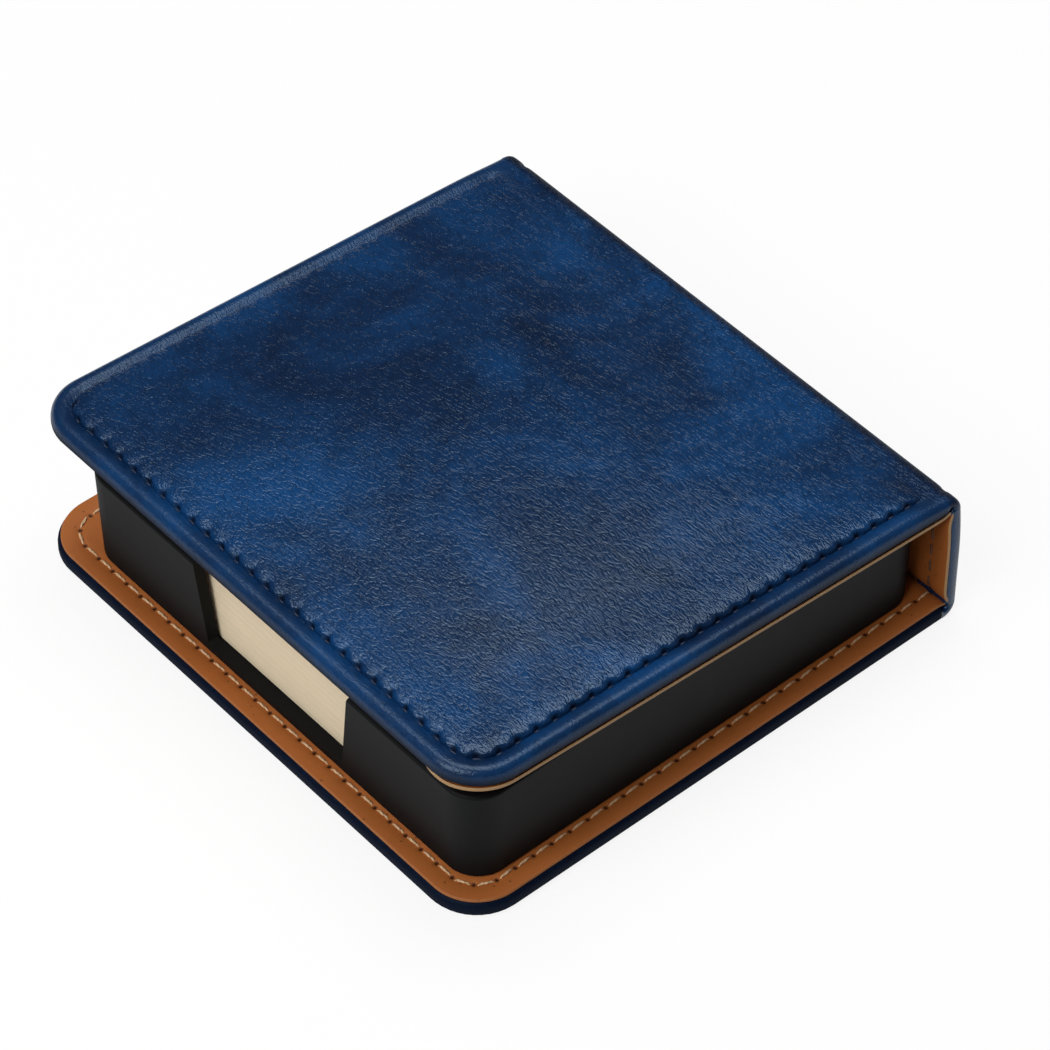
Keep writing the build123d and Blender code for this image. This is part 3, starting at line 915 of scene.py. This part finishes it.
lower_hinge = strip(
    "lower_hinge_skin",
    [(y, z, ny, nz, spine_half, waisted(base_end, spine_end, t)) for y, z, ny, nz, t in lower_arc],
    leather,
    leather_wall,
    taut_end,
)
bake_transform(lower_hinge)
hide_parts("lower_hinge_leather")
upper_hinge = strip(
    "upper_hinge_skin",
    [
        (y, z, ny, nz, lid_half - 0.15 * sin(pi * t), waisted(spine_end, hinge_end, t))
        for y, z, ny, nz, t in upper_arc
    ],
    leather,
    leather_wall,
    taut_end,
    # Painted shade over the hinge's bend, strongest a little past its middle.
    dark=[0.12 + 0.6 * sin(pi * min(1.0, 1.25 * (1 - t))) for *_, t in upper_arc],
)
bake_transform(upper_hinge)
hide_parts("upper_hinge_leather")

hinge_lining_end = np.array([(0.1, 0.6), (0, 0.5), (0, 0.12), (0.1, 0), (0.5, 0), (3.0, 0)])
cut_hinge = {"cut": [1.0, 1.0, 1.0, 0.9, 0.0, 0.0]}
under_leather = 1.4


def inside_hinge(arc, half):
    """Stations of the lining that follows a hinge's leather on its inner side."""
    return [
        (y - under_leather * ny, z - under_leather * nz, -ny, -nz, half, hinge_lining_end)
        for y, z, ny, nz, t in reversed(arc)
    ]


lower_lining = strip(
    "lower_hinge_lining_sheet", inside_hinge(lower_arc, spine_half - 0.5), lining, lining_wall, cut_hinge
)
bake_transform(lower_lining)
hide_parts("lower_hinge_lining")
upper_lining = strip(
    "upper_hinge_lining_sheet", inside_hinge(upper_arc, lid_half - 1.4), lining, lining_wall, cut_hinge
)
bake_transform(upper_lining)
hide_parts("upper_hinge_lining")

# Lid: leather drawn over a foam pad on the lid's card. Its rim is rolled over the card's edge, and the sewing inside
# the rim pulls the leather down hard, so that the pad puffs up in a scallop between each two stitches.
lid_normal = (0, sin(lid_tilt), cos(lid_tilt))
lid_v = (0, cos(lid_tilt), -sin(lid_tilt))
on_lid = (np.array([0, *lid_point(0, hinge_inset)]), (1, 0, 0), lid_v, lid_normal)
lid_margin = 0.6
lid_near = lid_rear - (base_far - base_near - lid_margin)
lid_size = (lid_half, lid_near, lid_rear, corner_radius)
foam_height = 3.3
pad_start = seam_inset - 0.05


def swollen_pad():
    """Cloth sewn down round the pad and blown up from below, as the foam swells it; gives its height at a place."""
    spacing = 3.0
    edge = free_edge(*lid_size, pad_start, spacing)
    frames = 24
    sheet = panel(
        "pad_cloth",
        edge,
        lid_size,
        [(pad_start, 0.0), (pad_start + 2.0, 0.0)],
        lambda points: np.zeros(len(points)),
        ((0, 0, 0), (1, 0, 0), (0, 1, 0), (0, 0, 1)),
        leather,
        0.0,
        spacing,
    )
    held = sheet.vertex_groups.new(name="sewn")
    count = len(edge[0])
    fixed = [v.index for v in sheet.data.vertices if v.index < count or v.co.y * 1000 > lid_rear - 0.01]
    held.add(fixed, 1.0, "REPLACE")
    cloth = sheet.modifiers.new("cloth", "CLOTH")
    cloth.settings.quality = 6
    cloth.settings.mass = 0.3
    cloth.settings.tension_stiffness = 15
    cloth.settings.compression_stiffness = 15
    cloth.settings.bending_stiffness = 2
    cloth.settings.vertex_group_mass = "sewn"
    cloth.settings.use_pressure = True
    cloth.settings.uniform_pressure_force = 60
    cloth.settings.effector_weights.gravity = 0
    cloth.point_cache.frame_end = frames
    scene = bpy.context.scene
    for number in range(1, frames + 1):
        scene.frame_set(number)
    smooth = sheet.modifiers.new("smooth", "SUBSURF")
    smooth.levels = smooth.render_levels = 2
    depsgraph = bpy.context.evaluated_depsgraph_get()
    swelled = bpy.data.meshes.new_from_object(sheet.evaluated_get(depsgraph))
    heights = BVHTree.FromPolygons([v.co * 1000 for v in swelled.vertices], [p.vertices for p in swelled.polygons])
    peak = max(v.co.z for v in swelled.vertices) * 1000
    flat = sheet.data
    bpy.data.objects.remove(sheet)
    bpy.data.meshes.remove(flat)
    bpy.data.meshes.remove(swelled)
    scene.frame_set(1)

    def height(points):
        found = []
        for x, y in points:
            hit = heights.ray_cast(Vector((x, y, 100)), Vector((0, 0, -1)))[0]
            found.append(hit.z if hit else 0.0)
        return np.maximum(np.array(found), 0) * (foam_height / peak)

    return height


raw_pad = swollen_pad()


def pad_height(points):
    """Height of the pad's leather over the rim: the swollen cloth, drawn flat towards the hinge."""
    from_hinge = np.clip((lid_rear - points[:, 1]) / 40.0, 0, 1)
    return raw_pad(points) * (1 - (1 - from_hinge) ** 3) ** 2


def seam_share(to_hinge):
    """How hard the seam pulls, from none at the hinge to all of it a few millimetres away."""
    share = np.clip((to_hinge - 1.5) / 4.0, 0, 1)
    return share * share * (3 - 2 * share)


lid_edge = free_edge(*lid_size, seam_inset, 0.33)
along, line = lid_edge
sewn = seam_share(np.minimum(along, along[-1] - along))
press = near_hole(along, 0.92, 0.5) * sewn
shadow = near_hole(along, 0.66, 0.5) * sewn
tuck = 0.37 * press - 0.15 * sewn


def pad_ring(inset, lift, pull):
    """Ring of the pad near its seam: drawn in at the stitches and puffed out between them."""
    at = inset + tuck * pull
    return (at, pad_height(line(at)) + lift)


valley = -0.52 * sewn
lid_section = [(inset, -depth) for inset, depth in lid_end[:13]] + [
    (2.1, 0.06 * valley), (2.5, 0.24 * valley), (2.85, 0.52 * valley), (3.15, 0.80 * valley), (3.4, 0.96 * valley),
    (3.58, valley - 0.08 * press), (3.7 + 0.5 * tuck, valley - 0.34 * press),
    (3.78 + tuck, 0.5 * valley - 0.52 * press), (3.86 + tuck, 0.12 * sewn - 0.56 * press),
    pad_ring(3.98, 0.27 * sewn - 0.36 * press, 1.0),
    pad_ring(4.2, 0.38 * sewn - 0.15 * press, 0.8), pad_ring(4.6, 0.44 * sewn - 0.06 * press, 0.5),
    pad_ring(5.3, 0.47 * sewn - 0.02 * press, 0.2), pad_ring(6.4, 0.46 * sewn, 0.0), pad_ring(8.2, 0.36 * sewn, 0.0),
]


def lid_middle(points):
    """Height of the lid's leather inside the rings round its seam."""
    inner = depth_in(points, lid_half, lid_near, corner_radius)
    fade = seam_share(lid_rear - points[:, 1])
    return pad_height(points) + 0.36 * fade * np.clip((16.0 - inner) / 7.8, 0, 1) ** 1.5


def rolled_rear(points):
    """Lets the lid's top roll off a little into the hinge."""
    from_hinge = lid_rear - points[:, 1]
    points[:, 2] -= rear_droop * np.exp(-((from_hinge / 6) ** 2)) * np.clip(1 + points[:, 2] / lid_depth, 0, 1)
    return points


lid_skin = panel(
    "lid_padded_skin",
    lid_edge,
    lid_size,
    lid_section,
    lid_middle,
    on_lid,
    leather,
    0.6,
    1.8,
    {
        "taut": [0.55] * 16 + [0.5, 0.4, 0.3, 0.3, 0.3, 0.2, 0.1] + [0.0] * 5,
        # This entry is painted shade: on the rim's underside and roll, a little on its top, and in the stitch bites.
        "deep": [0.9] * 6 + [0.8, 0.55, 0.25] + [0.12] * 7 + [0.10 * sewn, 0.15 * sewn]
        + [0.2 * sewn + 0.6 * shadow, 0.2 * sewn + 0.7 * shadow, 0.9 * shadow, 0.9 * shadow, 0.7 * shadow, 0.2 * shadow]
        + [0.0] * 4,
    },
    rolled_rear,
    # Painted shade on the leather close to the hinge.
    lambda points: 0.12 * np.exp(-((lid_rear - points[:, 1]) / 5.0) ** 2),
)
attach(lid_skin, "lid")
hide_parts("lid_leather", "lid_foam")

# Lid lining and seam: the same tan lining under the lid, and the lid's seam, whose thread is dark outside and pale
# inside.
under_normal = tuple(-np.array(lid_normal))
under_lid = (np.array([0, *lid_point(0, hinge_inset - lid_depth)]), (1, 0, 0), lid_v, under_normal)
lid_lining_thickness = 0.72
lid_run = 0.7
lid_lining_size = (lid_half, lid_near, lid_rear + lid_run, corner_radius)
under_edge = free_edge(*lid_lining_size, seam_inset, 0.45)
front_run = np.clip((under_edge[0] - (lid_rear + lid_run - lid_near - 3.0)) / 6.0, 0, 1)
section, marks = lining_section(under_edge[0], 0.03 + 1.1 * front_run, lid_lining_thickness, sunk_depth, 1.0)
lid_lining = panel(
    "lid_lining_sheet",
    under_edge,
    lid_lining_size,
    section,
    lambda points: np.full(len(points), lid_lining_thickness - sunk_depth),
    under_lid,
    lining,
    lining_wall,
    4.0,
    marks,
    tucked_rear,
)
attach(lid_lining, "lid")
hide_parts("lid_lining")

row, pitch = seam_row(lid_edge, -1.0, on_lid)
lid_outside_seam = sew("lid_outside_seam", [row], lid_normal, dark_thread, pitch, radians(2), radians(2), 6)
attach(lid_outside_seam, "lid")
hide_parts("lid_thread_outside")
row, pitch = seam_row(under_edge, lid_lining_thickness - thread_bed, under_lid)
lid_inside_seam = sew("lid_inside_seam", [row], under_normal, pale_thread, pitch, radians(4), radians(2.5), 7)
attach(lid_inside_seam, "lid")
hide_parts("lid_thread_inside")

bpy.data.objects.remove(one_stitch)

# Studio: a white sweep, two soft lights overhead, a broad one in front and a little light from all round. The camera
# stands where the photograph was taken from.
scene = bpy.context.scene
scene.view_settings.view_transform = "Standard"
white, place = finish("white_sweep")
seen = place.node("ShaderNodeLightPath", output="Is Camera Ray")
for ray in ("Is Glossy Ray", "Is Transmission Ray"):
    seen = seen + place.node("ShaderNodeLightPath", output=ray)
sweep = place.node("ShaderNodeBsdfDiffuse", {}, {"Color": seen.mix((0.45, 0.45, 0.45, 1), (0.92, 0.92, 0.92, 1))})
glow = place.node("ShaderNodeEmission", {}, {"Color": (1, 1, 1, 1), "Strength": 1.0})
both = place.node("ShaderNodeMixShader", {}, {0: seen * 0.86, 1: sweep, 2: glow})
place.node("ShaderNodeOutputMaterial", {}, {"Surface": both})
floor_half = 4000
floor_corners = [(floor_half * x, floor_half * y, 0) for x, y in ((-1, -1), (1, -1), (1, 1), (-1, 1))]
floor = piece("floor", floor_corners, [(0, 1, 2, 3)], white)

world = bpy.data.worlds.new("studio")
world.use_nodes = True
world.node_tree.nodes["Background"].inputs["Color"].default_value = (1, 1, 1, 1)
world.node_tree.nodes["Background"].inputs["Strength"].default_value = 0.08
scene.world = world


def softbox(name, shape, place, aim, size, power):
    """Area light at a place, aimed at a point, in metres and watts."""
    lamp = bpy.data.lights.new(name, "AREA")
    lamp.shape = shape
    lamp.size = size
    lamp.energy = power
    box = bpy.data.objects.new(name, lamp)
    box.location = place
    box.rotation_euler = (Vector(aim) - Vector(place)).to_track_quat("-Z", "Y").to_euler()
    scene.collection.objects.link(box)


softbox("overhead", "DISK", (-0.10, 0.23, 0.90), (0, 0, 0), 0.62, 4.4)
softbox("left", "DISK", (-0.44, 0.02, 0.88), (0, 0, 0), 0.30, 0.8)
softbox("front", "SQUARE", (0.10, -0.85, 0.95), (0, 0, 0.02), 0.8, 11.2)

view_turn, view_rise = radians(49.13), radians(46.13)
target = Vector((5.42, 2.52, 15.0)) / 1000
camera_distance = 0.7867
back = Vector((sin(view_turn) * cos(view_rise), -cos(view_turn) * cos(view_rise), sin(view_rise)))
lens = bpy.data.cameras.new("camera")
lens.sensor_width = 36
lens.lens = 163.6
lens.clip_start, lens.clip_end = 0.01, 50
camera = bpy.data.objects.new("camera", lens)
camera.location = target + back * camera_distance
camera.rotation_euler = back.to_track_quat("Z", "Y").to_euler()
scene.collection.objects.link(camera)
scene.camera = camera
